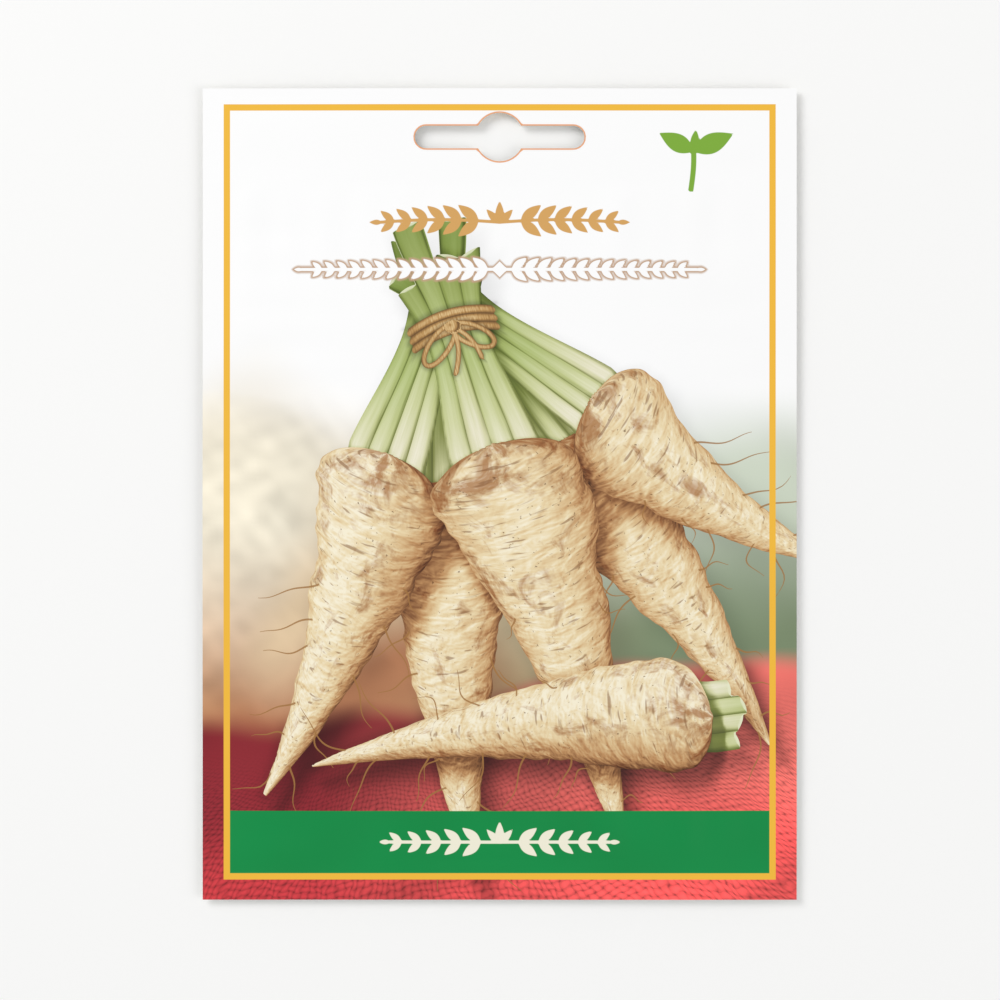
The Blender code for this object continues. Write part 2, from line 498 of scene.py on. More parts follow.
def backdrop(x, y):
    """The colours behind the bunch: white above, haze in cream and sage, and cloth below.

    Gives them, and the weave: its place in threads, its sharpness, and how far the bunch's light counts.
    Its threads grow wider by the same amount for each millimetre nearer, so along them it is a logarithm."""
    side = smooth(-34.0, 36.0, x + 5 * mottle(x, y, 60.0, 31))
    near = CLOTH_TOP + 11.0 * side + 1.2 * mottle(x, y, 30.0, 33) - y
    amount = smooth(-2.5, 3.5, near)
    colours = blend(haze_colours(x, y, side), cloth_colours(x, y, side, near), amount)
    pitch = THREAD_PITCH + PITCH_GROWTH * np.clip(near, 0.0, None)
    weave_u = (x + 20.0) / pitch
    weave_v = np.log(pitch / THREAD_PITCH) / PITCH_GROWTH
    focus = amount * smooth(2.0, 22.0, near)
    return colours, np.column_stack((weave_u, weave_v, focus, 0.22 + 0.78 * amount))


def root_frame(x, y, root):
    """Millimetres along the root from its crown, and sideways from its bowed middle line."""
    along, aside = turned(x - root.x, y - root.y, root.heading)
    share = np.clip(along / root.length, 0.0, 1.0)
    return along, aside - root.bow * 4 * share * (1 - share)


def taper(share):
    """How wide a root is at a share of its length: fast at first, then slowly to the tail."""
    return 0.78 * (1 - share) ** 1.3 + 0.22 * (1 - share) ** 0.5


def root_fields(x, y, root):
    """Across (-1 to 1), along (mm from the crown) and depth inside the outline (mm) of one root.

    The outline is a quarter ellipse at the shoulders, then the taper, with slight knobs."""
    along, aside = root_frame(x, y, root)
    share = np.clip(along / root.length, 0.0, 1.0)
    shoulder = np.sqrt(1 - (1 - np.clip(share / 0.14, 0.0, 1.0)) ** 2)
    seed = int(root.heading)
    side = 30.0 * np.tanh(aside / 2)
    knobs = 1 + 0.045 * mottle(along, side, 13.0, seed) + 0.02 * mottle(along, side, 3.5, seed + 1)
    half = root.half_width * shoulder * taper(share) * knobs
    half = half + np.minimum(along, 0.0) + np.minimum(root.length - along, 0.0)
    across = aside / np.maximum(half, 0.3)
    return np.clip(across, -1.6, 1.6), along, half - np.abs(aside)


def stalk_fields(x, y, root):
    """The same fields for a root's clump of leaf stalks: narrowest at the tie, and open above it.

    Each stalk has its own slanting cut, and the clump is as deep at a point as its deepest stalk is."""
    along, aside = root_frame(x, y, root)
    along = 3.5 - along
    half = 4.9 + 2.6 * smooth(root.tie, 0.0, along) + 4.2 * smooth(root.tie, root.tie + 24.0, along)
    half = half * root.half_width / 15.0
    across = aside / half
    depth = np.full(x.shape, -99.0)
    for i in range(STALKS):
        turn = 2.3 * i + root.heading
        local = STALKS * (across + 1) - 2 * i - 1
        cut = root.cut * (1 + 0.15 * math.sin(turn)) + 0.7 * math.cos(turn) * local - 0.35 * local * local
        depth = np.maximum(depth, np.minimum((1.15 - np.abs(local)) * half / STALKS, cut - along))
    return np.clip(across, -0.999, 0.999), along, np.minimum(depth, along)


def layer(fields, x, y, root, shadow):
    """Four numbers a point: across, along, depth, and the light that the layer leaves beneath it."""
    across, along, depth = fields(x, y, root)
    shaded = fields(x - SHADOW_DROP[0], y - SHADOW_DROP[1], root)[2]
    close = smooth(-2.2, 0.6, depth)
    keep = (1 - shadow * smooth(-3.6, 2.6, shaded)) * (1 - 0.45 * shadow * close)
    return np.column_stack((across, along, depth, keep))


def hair_fields(x, y, side):
    """Fine rootlets off one side of the lower part of each root: a thread on a bowed, waved line.

    They are drawn from the front root back, and one that would touch an earlier one is left out. Gives the
    nearest one's signed sideways distance, the share along it, its plain distance and its root's number."""
    draw = np.random.default_rng(HAIR_DRAW + side)
    nearest = np.full((len(x), 4), 99.0)
    for number, root in reversed(list(enumerate(BUNCH, 1))):
        run, aside = root_frame(x, y, root)
        for i in range(HAIRS_A_SIDE):
            at = HAIRS_FROM + HAIRS_SPAN * (i + draw.uniform(0.1, 0.9)) / HAIRS_A_SIDE
            length, spread, bow = draw.uniform(*HAIR_RANGE)
            flank = side * root.half_width * taper(at) * 0.85
            along, off = turned(run - at * root.length, aside - flank, side * spread)
            along = along / length
            off = off - bow * 4 * along * (1 - along) - 0.4 * np.sin(along * 7 + at * 20)
            near = np.abs(off) + length * (np.maximum(-along, 0) + np.maximum(along - 1, 0))
            if np.all(np.maximum(near, nearest[:, 2]) > HAIR_ROOM):
                hair = np.column_stack((off, along, near, np.full(len(x), number)))
                nearest = np.where((near < nearest[:, 2])[:, None], hair, nearest)
    return nearest


def bow_lines(aside, run):
    """Signed distances off the lines of the bow's two loops and two loose ends.

    A loop is an ellipse that starts at the knot, and a loose end is a bowed line from it."""
    for side, slope, half_length, half_width, end_slope, length, bend in BOWS:
        u, v = turned(side * aside, run, slope)
        u = u - half_length
        ratio = np.hypot(u / half_length, v / half_width)
        slant = np.hypot(u / half_length**2, v / half_width**2)
        yield ratio * (ratio - 1) / np.maximum(slant, 0.02)
        u, v = turned(side * aside, run, end_slope)
        beyond = np.maximum(-u, 0) + np.maximum(u - length, 0)
        yield v - bend * np.sin(math.pi * u / length) + np.copysign(beyond, v)


def tie_frame(x, y):
    """Millimetres down the stalks from the middle of the tie, and to the right across them."""
    return turned(x - TIE_X, y - TIE_Y, TIE_HEADING)


def twine_fields(x, y):
    """The twine round the stalks: across the wrap, along it, depth inside, and the light it leaves beneath.

    It is a band bent round the bundle, of strands side by side."""
    run, aside = tie_frame(x, y)
    strand = run - TWINE_BEND * aside * aside + 3.6 * TWINE_PITCH
    off_middle = np.mod(strand, 2 * TWINE_PITCH) - TWINE_PITCH
    end = TWINE_HALF_LENGTH - np.abs(aside) - 0.8 * off_middle**2
    depth = np.minimum(TWINE_HALF_WIDTH - np.abs(strand - TWINE_HALF_WIDTH), end)
    return np.column_stack((aside, strand, depth, 1 - 0.5 * smooth(-1.3, 0.3, depth)))


def bow_fields(x, y):
    """The same four numbers for the bow: strands with round sides, and a knot of turns within each other."""
    run, aside = tie_frame(x, y)
    run = run - 0.5
    depth = STRAND - np.min([np.abs(off) for off in bow_lines(aside, run)], 0)
    strand = TWINE_PITCH * np.clip(depth / STRAND, 0, 1)
    knot = KNOT_RADIUS - np.hypot(aside, 1.25 * run)
    turns = TWINE_PITCH * (0.25 + 1.1 * np.hypot(aside + 0.4, run + 0.4))
    strand = np.where(knot > 0, turns, strand)
    depth = np.maximum(depth, knot)
    return np.column_stack((aside, strand, depth, 1 - 0.45 * smooth(-0.9, 0.2, depth)))


def leaf_depth(x, y, base_x, base_y, turn, length, width, swell=0.85):
    """Depth inside a pointed leaf: a half width that follows a sine from the base to the tip.

    A lower swell moves the widest place towards the base."""
    along, aside = turned(x - base_x, y - base_y, turn)
    half = width / 2 * np.sin(math.pi * np.clip(along / length, 0, 1) ** swell)
    beyond = np.maximum(-along, 0) + np.maximum(along - length, 0)
    return half - np.abs(aside) - beyond


def with_leaves(depth, x, y, *leaves):
    """The depth inside a shape or any of these leaves."""
    for leaf in leaves:
        depth = np.maximum(depth, leaf_depth(x, y, *leaf))
    return depth


def garland_depth(x, y, middle_y, first, half_length, leaf, pairs, rise):
    """Depth inside a level garland, the same on both sides: a waved stem whose leaves shrink outwards."""
    side = np.abs(x)
    stem_y = middle_y + rise * np.sin(side / half_length * math.pi)
    depth = np.minimum(0.30 - np.abs(y - stem_y), half_length - side)
    for at in np.linspace(first, 0.91 * half_length, pairs):
        size = leaf * (1.08 - 0.45 * at / half_length)
        base_y = middle_y + rise * math.sin(at / half_length * math.pi)
        pair = [(at - 0.6, base_y, turn, size, 0.40 * size) for turn in (38.0, -38.0)]
        depth = with_leaves(depth, side, y, *pair)
    return with_leaves(depth, side, y, (half_length - 0.4, middle_y, 0.0, 0.5 * leaf, 0.2 * leaf))


def tuft(x, y, base_y, size):
    """Depth inside three upright leaves that fan from one point."""
    low = [(0.0, base_y, turn, 0.86 * size, 0.32 * size) for turn in (48.0, 132.0)]
    return with_leaves(leaf_depth(x, y, 0.0, base_y, 90.0, size, 0.36 * size), x, y, *low)


def stem_depth(x, y, base, low, high, half_width):
    """Depth inside an upright stem that bends a little in a sine."""
    bend = base + 0.6 * np.sin((y - low) / 4.0)
    return np.minimum(half_width - np.abs(x - bend), (high - low) / 2 - np.abs(y - (high + low) / 2))


def ornament_fields(x, y):
    """Depth inside the four ornaments: gold sprig, white runner, the band's garland and seedling."""
    sprig = np.maximum(garland_depth(x, y, SPRIG_Y, 4.6, 22.5, 5.0, 6, 0.5), tuft(x, y, SPRIG_Y - 0.3, 4.4))
    lozenge = 1.5 - np.abs(x) - np.abs(y - RUNNER_Y)
    runner = np.maximum(garland_depth(x, y, RUNNER_Y, 2.9, 37.5, 3.5, 14, 0.0), lozenge)
    garland = garland_depth(x, y, GARLAND_Y, 4.2, 21.0, 4.5, 5, 0.0)
    garland = np.maximum(garland, tuft(x, y, GARLAND_Y - 0.3, 4.3))
    seed_x, seed_y = SEEDLING
    leaves = [(seed_x + 0.6, seed_y + 6.6, turn, size, 0.46 * size)
              for turn, size in ((24.0, 8.2), (152.0, 7.4))]
    seedling = stem_depth(x, y, seed_x, seed_y - 1.0, seed_y + 7.4, 0.5)
    seedling = with_leaves(seedling, x, y, *leaves, (seed_x + 0.6, seed_y + 6.8, 84.0, 4.0, 1.6))
    return np.column_stack((sprig, runner, garland, seedling))


def leafy_stem_depth(x, y, base_x, base_y, turn, length):
    """Depth inside a leaf stalk with three pairs of leaflets and one at its tip."""
    run_x, run_y = math.cos(math.radians(turn)), math.sin(math.radians(turn))
    leaflets = [(share, lean, 0.27, 0.11) for share in (0.42, 0.58, 0.74) for lean in (-52.0, 52.0)]
    leaves = [(base_x + share * length * run_x, base_y + share * length * run_y,
               turn + lean, size * length, width * length)
              for share, lean, size, width in (*leaflets, (0.85, 0.0, 0.30, 0.13))]
    return with_leaves(leaf_depth(x, y, base_x, base_y, turn, length, 1.0), x, y, *leaves)


def growth_fields(x, y):
    """Depth inside the soil, leaves and roots of four stages, from a sown seed to a grown root."""
    surface = SOIL_TOP + 0.7 * np.sin(x / 5.0) + 0.35 * np.sin(x / 2.3 + 1.0)
    soil = np.minimum(surface - y, np.minimum(y - SOIL_LOW, STAGES_HALF_WIDTH - np.abs(x)))
    leaves = stem_depth(x, y, -12.0, -26.0, -15.5, 0.4)
    for base, top, leans in (
        (-12.0, -16.0, ((62.0, 4.2), (118.0, 4.2))),
        (10.0, -13.0, ((22.0, 8.0), (158.0, 8.0), (76.0, 4.6), (108.0, 4.2))),
    ):
        pairs = [(base + 0.3, top, turn, size, 0.44 * size) for turn, size in leans]
        leaves = with_leaves(leaves, x, y, *pairs)
    leaves = np.maximum(leaves, stem_depth(x, y, 10.0, -24.0, -12.5, 0.45))
    for turn, length in ((24.0, 10.0), (156.0, 10.0), (54.0, 14.0), (126.0, 14.0), (90.0, 16.0)):
        leaves = np.maximum(leaves, leafy_stem_depth(x, y, 31.0, -21.0, turn, length))
    roots = 1.3 - np.hypot(0.75 * (x + 33.0), y + 27.0)
    roots = np.maximum(roots, 1.0 - np.hypot(0.75 * (x + 12.0), y + 26.5))
    tails = [(base, top, -90.0, length, width, 0.42) for base, top, length, width in (
        (-12.0, -26.5, 6.0, 0.8), (10.0, -22.5, 11.0, 2.2), (31.0, -20.6, 15.0, 7.0))]
    roots = with_leaves(roots, x, y, *tails)
    return np.column_stack((soil, leaves, roots, 0 * x))


def store(mesh, name, values):
    """Keeps four numbers a point in the mesh, for the printed finish to read."""
    attribute = mesh.attributes.new(name, "FLOAT_COLOR", "POINT")
    attribute.data.foreach_set("color", np.ascontiguousarray(values, np.float32).ravel())


def store_print(mesh, points):
    """Works out every field of the print at the front sheet's points."""
    x, y = points[:, 0], points[:, 1]
    colours, weave = backdrop(x, y)
    store(mesh, "backdrop", colours)
    store(mesh, "weave", weave)
    for number, root in enumerate(BUNCH, 1):
        store(mesh, f"stalks_{number}", layer(stalk_fields, x, y, root, 0.5))
        store(mesh, f"root_{number}", layer(root_fields, x, y, root, 0.66))
    for name, side in (("rootlets_left", 1), ("rootlets_right", -1)):
        store(mesh, name, hair_fields(x, y, side))
    for name, fields in (("twine", twine_fields), ("bow", bow_fields), ("ornaments", ornament_fields)):
        store(mesh, name, fields(x, y))
    store(mesh, "slot", np.column_stack([slot_distance(x, y)] * 4))


# Finishes


def wire(node, inputs):
    """Fills a node's sockets, by name or place: a node or socket is linked, a value or hex colour is set."""
    sockets = [socket for socket in node.inputs if socket.enabled]
    for key, value in inputs.items():
        socket = sockets[key] if isinstance(key, int) else next(s for s in sockets if s.name == key)
        if isinstance(value, str):
            value = linear(value)
        if isinstance(value, bpy.types.Node):
            value = next(s for s in value.outputs if s.enabled)
        if isinstance(value, bpy.types.NodeSocket):
            node.id_data.links.new(value, socket)
        else:
            socket.default_value = value


def add_node(tree, kind, *inputs, ramp=(), **settings):
    """Adds one shader node with its settings, a ramp's stops, and its inputs in their order.

    After a dot, its kind names what a math node works out, or what a mix mixes."""
    kind, _, variant = kind.partition(".")
    node = tree.nodes.new("ShaderNode" + kind)
    if variant:
        settings["data_type" if kind == "Mix" else "operation"] = variant
    for name, value in settings.items():
        setattr(node, name, value)
    for stop, (place, code) in enumerate(ramp):
        elements = node.color_ramp.elements
        element = elements[stop] if stop < 2 else elements.new(place)
        element.position, element.color = place, linear(code)
    wire(node, dict(enumerate(inputs)))
    return node


def product(add, value, *others):
    """A chain that multiplies all these values."""
    for other in others:
        value = add("Math.MULTIPLY", value, other)
    return value


def weighted_sum(add, total, *terms):
    """A chain that adds each value times its weight to a first one."""
    for value, weight in terms:
        total = add("Math.MULTIPLY_ADD", value, weight, total)
    return total


def round_height(add, offset, power=0.5):
    """Height of a rounded section: 1 less the square of an offset of -1 to 1, to a power."""
    left = add("Math.SUBTRACT", 1.0, add("Math.MULTIPLY", offset, offset), use_clamp=True)
    return add("Math.POWER", left, power)


def grain(add, place, stretch, detail, roughness=0.5, distortion=0.0):
    """Noise with its own number of grains along each axis of its place."""
    noise = add("TexNoise", add("VectorMath.MULTIPLY", place, stretch))
    wire(noise, {"Scale": 1.0, "Detail": detail, "Roughness": roughness, "Distortion": distortion})
    return noise


def ink(add, under, value, colour, *span, **settings):
    """Lays a colour over another as a value crosses a span: start, end, and the amounts there."""
    return add("Mix.RGBA", add("MapRange", value, *span), under, colour, **settings)


def finish(name):
    """A new material, the function that adds a node to it, and its Principled shader."""
    made = bpy.data.materials.new(name)
    made.use_nodes = True
    return made, partial(add_node, made.node_tree), made.node_tree.nodes["Principled BSDF"]


def stored_fields(add, name):
    """The four numbers that a mesh keeps at each point under this name."""
    stored = add("Attribute", attribute_name=name)
    return (*add("SeparateXYZ", stored.outputs["Vector"]).outputs, stored.outputs["Alpha"])


def layered_fields(add):
    """Lays the stalks and roots over each other, back to front.

    Gives the top layer's fields, its kind, lean and number (0 where there is none), and its light."""
    fields, facts, light = (0.0, 0.0, 0.0), (0.0, 0.0, 0.0), 1.0
    for number, root in enumerate(BUNCH, 1):
        lean = turned(LIGHT_X, LIGHT_Y, root.heading)[1]
        for kind, name in ((1.0, f"stalks_{number}"), (0.0, f"root_{number}")):
            stored = add("Attribute", attribute_name=name)
            vector = stored.outputs["Vector"]
            depth = add("SeparateXYZ", vector).outputs["Z"]
            mask = add("Math.GREATER_THAN", depth, 0.0)
            fields = add("Mix.VECTOR", mask, fields, vector)
            facts = add("Mix.VECTOR", mask, facts, (kind, lean, number))
            left = add("Math.MULTIPLY", light, stored.outputs["Alpha"])
            light = add("Mix", mask, left, 1.0)
    return fields, facts, light


def root_skin(add, across, along, lean, light):
    """Scrubbed root skin as printed: a round body in cream and tan, with rings, creases and stains."""
    facing = round_height(add, across)
    round_x = add("Math.ARCSINE", across)
    bowed = add("Math.MULTIPLY_ADD", facing, -4.0, along)
    place = add("CombineXYZ", round_x, bowed, lean)
    ahead = add("VectorMath.ADD", place, (0.03, 0.36, 0.0))
    rings = [grain(add, spot, (1.7, 0.42, 9.0), 3.2, 0.56, 0.35) for spot in (place, ahead)]
    relief = add("Math.SUBTRACT", *rings)
    patch = grain(add, place, (2.4, 0.19, 7.0), 5.0, 0.6, 0.6)
    lit = weighted_sum(add, 0.1, (facing, 0.5), (add("Math.MULTIPLY", across, lean), 0.34), (patch, 0.5))
    lit = add("Math.MULTIPLY_ADD", relief, 1.1, add("Math.MULTIPLY", lit, light))
    skin = add("ValToRGB", lit, ramp=(
        (0.0, "#4A2C1A"), (1.0, "#FBF2D8"), (0.22, "#8E5F3A"), (0.42, "#C0905F"),
        (0.6, "#DAB887"), (0.8, "#EDD9AE")))
    crown = add("MapRange", along, 12.0, 1.0, 0.0, 0.15)
    stain = add("Math.ADD", crown, grain(add, place, (1.9, 0.15, 5.0), 4.0, 0.66, 0.5))
    skin = ink(add, skin, stain, "#B27C4C", 0.54, 0.7, 0.0, 0.8, blend_type="MULTIPLY")
    crease = grain(add, place, (2.1, 1.25, 3.0), 1.5, 0.5, 0.3)
    crease = add("Math.MULTIPLY_ADD", crown, 0.5, crease)
    skin = ink(add, skin, crease, "#8A5B35", 0.64, 0.71, 0.0, 0.62)
    speck = grain(add, place, (11.0, 0.95, 7.0), 2.0, 0.7)
    return ink(add, skin, speck, "#6B4426", 0.66, 0.72, 0.0, 0.75)


def leaf_stalks(add, across, along, depth, lean, light):
    """Cut leaf stalks as printed: cream at the crown and green above, with pale cut ends."""
    cell = add("Math.MULTIPLY", across, STALKS / 2)
    number = add("Math.FLOOR", cell)
    own_tint = add("TexWhiteNoise", add("CombineXYZ", number, lean)).outputs["Value"]
    rib = add("Math.MULTIPLY_ADD", add("Math.FRACT", cell), 2.0, -1.0)
    facing = round_height(add, rib, 0.6)
    fibre = grain(add, add("CombineXYZ", across, along, lean), (13.0, 0.09, 3.0), 3.0)
    lit = weighted_sum(add, 0.1, (facing, 0.55), (add("Math.MULTIPLY", rib, lean), 0.22), (fibre, 0.5))
    greener = add("Math.MULTIPLY_ADD", own_tint, 12.0, along)
    body = add("ValToRGB", add("MapRange", greener, 8.0, 52.0), ramp=(
        (0.0, "#F3EED9"), (1.0, "#8FA356"), (0.2, "#DDE0B4"), (0.45, "#BFCC8C"), (0.75, "#A5B36C")))
    shade = add("ValToRGB", add("Math.MULTIPLY", lit, light), ramp=(
        (0.0, "#3B4520"), (1.0, "#FFFFFF"), (0.35, "#8F9760"), (0.65, "#E2E6C8")))
    stalk = add("Mix.RGBA", 1.0, body, shade, blend_type="MULTIPLY")
    room = add("Math.SUBTRACT", 0.95, add("Math.ABSOLUTE", rib))
    within = add("Math.LESS_THAN", depth, room)
    above = add("Math.GREATER_THAN", along, 6.0)
    end = product(add, add("MapRange", depth, 0.7, 0.4, 0.0, 0.8), within, above)
    return add("Mix.RGBA", end, stalk, "#E9EBCB")


def threads(add, across, along):
    """Height of round threads that pass over every other crossing thread and under the rest."""
    number = add("Math.FLOOR", across)
    off = add("Math.FRACT", across)
    off = add("Math.MULTIPLY_ADD", off, 2 / THREAD_COVER, -1 / THREAD_COVER)
    turn = weighted_sum(add, -math.pi / 2, (along, math.pi), (number, math.pi))
    wave = add("Math.MULTIPLY_ADD", add("Math.COSINE", turn), 0.34, 0.66)
    return add("Math.MULTIPLY", round_height(add, off), wave)


def woven_cloth(add, light):
    """Red net cloth as printed, with threads that grow coarser towards the viewer, and haze behind it."""
    ground = add("Attribute", attribute_name="backdrop")
    stored = add("Attribute", attribute_name="weave")
    flat = stored.outputs["Vector"]
    u, v, near = add("SeparateXYZ", flat).outputs
    wander = add("TexNoise", flat, 0.3, 3.0)
    u = add("Math.MULTIPLY_ADD", wander, 3.0, u)
    v = add("Math.MULTIPLY_ADD", wander, -2.2, v)
    crossed = add("Math.ADD", u, 1.0)
    weave = add("Math.MAXIMUM", threads(add, u, v), threads(add, v, crossed))
    weave = add("Math.MULTIPLY_ADD", grain(add, flat, (2.6, 2.6, 0.0), 3.0, 0.7), 0.55, weave)
    weave = add("MapRange", weave, 0.3, 1.25, 0.5, 1.36)
    focus = add("Mix", near, 1.0, weave)
    caught = add("Mix", stored.outputs["Alpha"], 1.0, light)
    return add("VectorMath.SCALE", ground.outputs["Color"], add("Math.MULTIPLY", focus, caught))


def printed_twine(add, under, name):
    """Jute twine as printed: round strands with slanting fibres, darker where the wrap turns away."""
    aside, strand, depth, left = stored_fields(add, name)
    slanted = add("Mapping", add("CombineXYZ", aside, strand))
    wire(slanted, {"Rotation": (0.0, 0.0, 0.6), "Scale": (3.5, 0.7, 0.0)})
    strand = add("Math.PINGPONG", strand, TWINE_PITCH)
    fibre = add("TexNoise", slanted, 1.0, 2.0)
    away = add("Math.DIVIDE", aside, TWINE_HALF_LENGTH)
    away = add("Math.MULTIPLY_ADD", add("Math.MULTIPLY", away, away), -0.55, 1.0)
    strand = product(add, add("MapRange", strand, 0.0, 0.6), fibre, away)
    jute = add("ValToRGB", strand, ramp=((0.0, "#6A4A28"), (0.62, "#E3C48E"), (0.28, "#B98E55")))
    dimmed = add("VectorMath.SCALE", under, left)
    return ink(add, dimmed, depth, jute, *PRINT_EDGE)


def rootlets(add, under, name, top):
    """Fine brown rootlets as printed, each thinning to its tip, and hidden by roots in front."""
    aside, share, near, owner = stored_fields(add, name)
    width = add("MapRange", share, 0.0, 1.0, 0.2, 0.05)
    width = add("Math.MULTIPLY", width, add("Math.COMPARE", share, 0.5, 0.5))
    thin = add("Math.LESS_THAN", add("Math.ABSOLUTE", aside), width)
    close = add("MapRange", near, 0.9, 0.6, 0.0, 0.85)
    in_front = add("Math.GREATER_THAN", owner, add("Math.SUBTRACT", top, 0.5))
    return add("Mix.RGBA", product(add, thin, close, in_front), under, "#A2733F")


def outside_box(add, place, middle, size):
    """How far a place is outside a level box, and less than 0 inside it."""
    off = add("VectorMath.SUBTRACT", place, (*middle, 0.0))
    off = add("VectorMath.ABSOLUTE", off)
    off = add("VectorMath.SUBTRACT", off, (size[0] / 2, size[1] / 2, 0.0))
    return add("Math.MAXIMUM", *add("SeparateXYZ", off).outputs[:2])


def frame_and_band(add, under, place):
    """The ruled frame line and the green band inside it, from plain distances to their edges."""
    size = (2 * FRAME_HALF_WIDTH, FRAME_HIGH - FRAME_LOW)
    outside = outside_box(add, place, (0.0, (FRAME_HIGH + FRAME_LOW) / 2), size)
    below = add("Math.SUBTRACT", add("SeparateXYZ", place).outputs["Y"], BAND_TOP)
    cloud = add("TexNoise", place, 0.05, 1.0)
    green = add("Mix.RGBA", cloud, *BAND_GREENS)
    banded = ink(add, under, add("Math.MAXIMUM", outside, below), green, INK_EDGE, -INK_EDGE)
    line = add("Math.ABSOLUTE", outside)
    return ink(add, banded, line, "#F4BC3E", FRAME_LINE / 2 + INK_EDGE, FRAME_LINE / 2 - INK_EDGE)


def ornaments(add, under):
    """Gold sprig, white runner with a tan rim, cream garland, green seedling and the slot's outline."""
    sprig, runner, garland, seedling = stored_fields(add, "ornaments")
    shown = ink(add, under, runner, "#C4A284", -0.62, -0.12)
    inks = ((sprig, "#D8A661"), (runner, "#FFFFFF"), (garland, "#F5F1DC"), (seedling, "#7FAE3B"))
    for depth, colour in inks:
        shown = ink(add, shown, depth, colour, *PRINT_EDGE)
    slot = add("Attribute", attribute_name="slot").outputs["Fac"]
    return ink(add, shown, slot, "#EBA678", 0.34, 0.2)


def laminate_surface(add, shader, place):
    """Satin varnish over paper: faint fibre relief of about 0.3 mm grain, and a slightly uneven gloss."""
    relief = add("Bump")
    fibre = add("TexNoise", place, 3.2, 4.0, 0.6)
    wire(relief, {"Height": fibre, "Strength": 0.1, "Distance": 0.00005})
    gloss = add("MapRange", add("TexNoise", place, 0.12, 2.0), 0.3, 0.7, 0.4, 0.5)
    wire(shader, {"Normal": relief, "Roughness": gloss, "Specular IOR Level": 0.25})


def offset_printed_laminate():
    """Paper laminate printed in colour and varnished: sharp inks under an even satin sheen."""
    made, add, shader = finish("offset_printed_laminate")
    place = add("VectorMath.SCALE", add("TexCoord").outputs["Object"], 1 / MM)
    fields, facts, light = layered_fields(add)
    across, along, depth = add("SeparateXYZ", fields).outputs
    kind, lean, top = add("SeparateXYZ", facts).outputs
    skin = root_skin(add, across, along, lean, light)
    stalks = leaf_stalks(add, across, along, depth, lean, light)
    bunch = add("Mix.RGBA", kind, skin, stalks)
    picture = add("Mix.RGBA", top, woven_cloth(add, light), bunch)
    for name in ("twine", "bow"):
        picture = printed_twine(add, picture, name)
    for name in ("rootlets_left", "rootlets_right"):
        picture = rootlets(add, picture, name, top)
    wire(shader, {"Base Color": ornaments(add, frame_and_band(add, picture, place))})
    laminate_surface(add, shader, place)
    return made


def ruled_boxes(add, under, place, middle, cell, count, tint, rule):
    """A row of even boxes round its middle: one tint with a ruled edge, repeated by a remainder."""
    outside = outside_box(add, place, middle, (cell[0] * count, cell[1]))
    start = (cell[0] * count / 2 - middle[0], cell[1] / 2 - middle[1], 0.0)
    local = add("VectorMath.MODULO", add("VectorMath.ADD", place, start), (*cell, 1.0))
    inner = outside_box(add, local, (cell[0] / 2, cell[1] / 2), cell)
    ruled = add("Math.GREATER_THAN", inner, -RULE)
    boxed = add("Mix.RGBA", ruled, tint, rule)
    return add("Mix.RGBA", add("Math.LESS_THAN", outside, 0.0), under, boxed)


def calendar(add, under, place):
    """Three rows of months, pale, with those for sowing, planting and lifting in full colour."""
    for height, pale, full, first, last in CALENDAR:
        under = ruled_boxes(add, under, place, (0.0, height), MONTH_CELL, MONTHS, pale, MONTH_RULE)
        middle = ((first + last - 1 - MONTHS) / 2 * MONTH_CELL[0], height)
        under = ruled_boxes(add, under, place, middle, MONTH_CELL, last - first + 1, full, MONTH_RULE)
    return under


def growth_picture(add, under, place):
    """Crumbly soil, cream roots and green leaves that are darker towards their edges."""
    soil, leaves, roots, _ = stored_fields(add, "growth")
    deeper = add("MapRange", soil, 0.0, 9.0, 0.12, -0.08)
    crumb = add("Math.ADD", deeper, add("TexNoise", place, 1.1, 4.0, 0.7))
    earth = add("ValToRGB", crumb, ramp=((0.32, "#5B3B22"), (0.72, "#B08454"), (0.5, "#8A6038")))
    green = add("ValToRGB", leaves, ramp=((0.05, "#3E7D2B"), (1.0, "#A8CE5E"), (0.35, "#76AC3C")))
    cream = add("ValToRGB", roots, ramp=((0.05, "#B98A57"), (1.0, "#F6E9C6"), (0.4, "#E6CB98")))
    for depth, colour in ((soil, earth), (leaves, green), (roots, cream)):
        under = ink(add, under, depth, colour, *PRINT_EDGE)
    return under


def back_printed_laminate():
    """The back's print on the same laminate: frame line, band, growth picture, calendar, panels."""
    made, add, shader = finish("back_printed_laminate")
    place = add("TexCoord").outputs["Object"]
    place = add("VectorMath.MULTIPLY", place, (-1 / MM, 1 / MM, 1 / MM))
    inked = "#FBFAF5"
    for middle, size, tint, rule in BACK_PANELS:
        inked = ruled_boxes(add, inked, place, middle, size, 1, tint, rule)
    inked = growth_picture(add, calendar(add, inked, place), place)
    wire(shader, {"Base Color": frame_and_band(add, inked, place)})
    laminate_surface(add, shader, place)
    return made


def clouded_finish(name, scale, detail, dark, pale, roughness):
    """A plain surface whose tone drifts between two close colours."""
    made, add, shader = finish(name)
    cloud = add("TexNoise", add("TexCoord").outputs["Object"], scale, detail)
    tone = add("Mix.RGBA", cloud, dark, pale)
    wire(shader, {"Base Color": tone, "Roughness": roughness})
    return made


def milky_sealing_film():
    """The inner face: a milky polythene sealing film, smooth and slightly glossy."""
    return clouded_finish("milky_sealing_film", 60.0, 3.0, "#E6E6E2", "#F1F0EC", 0.30)


def cut_paper_edge():
    """The guillotined edge: bare white paper, matt, with fibres of about 0.2 mm."""
    return clouded_finish("cut_paper_edge", 5000.0, 2.0, "#E9E5DB", "#FAF8F2", 0.85)


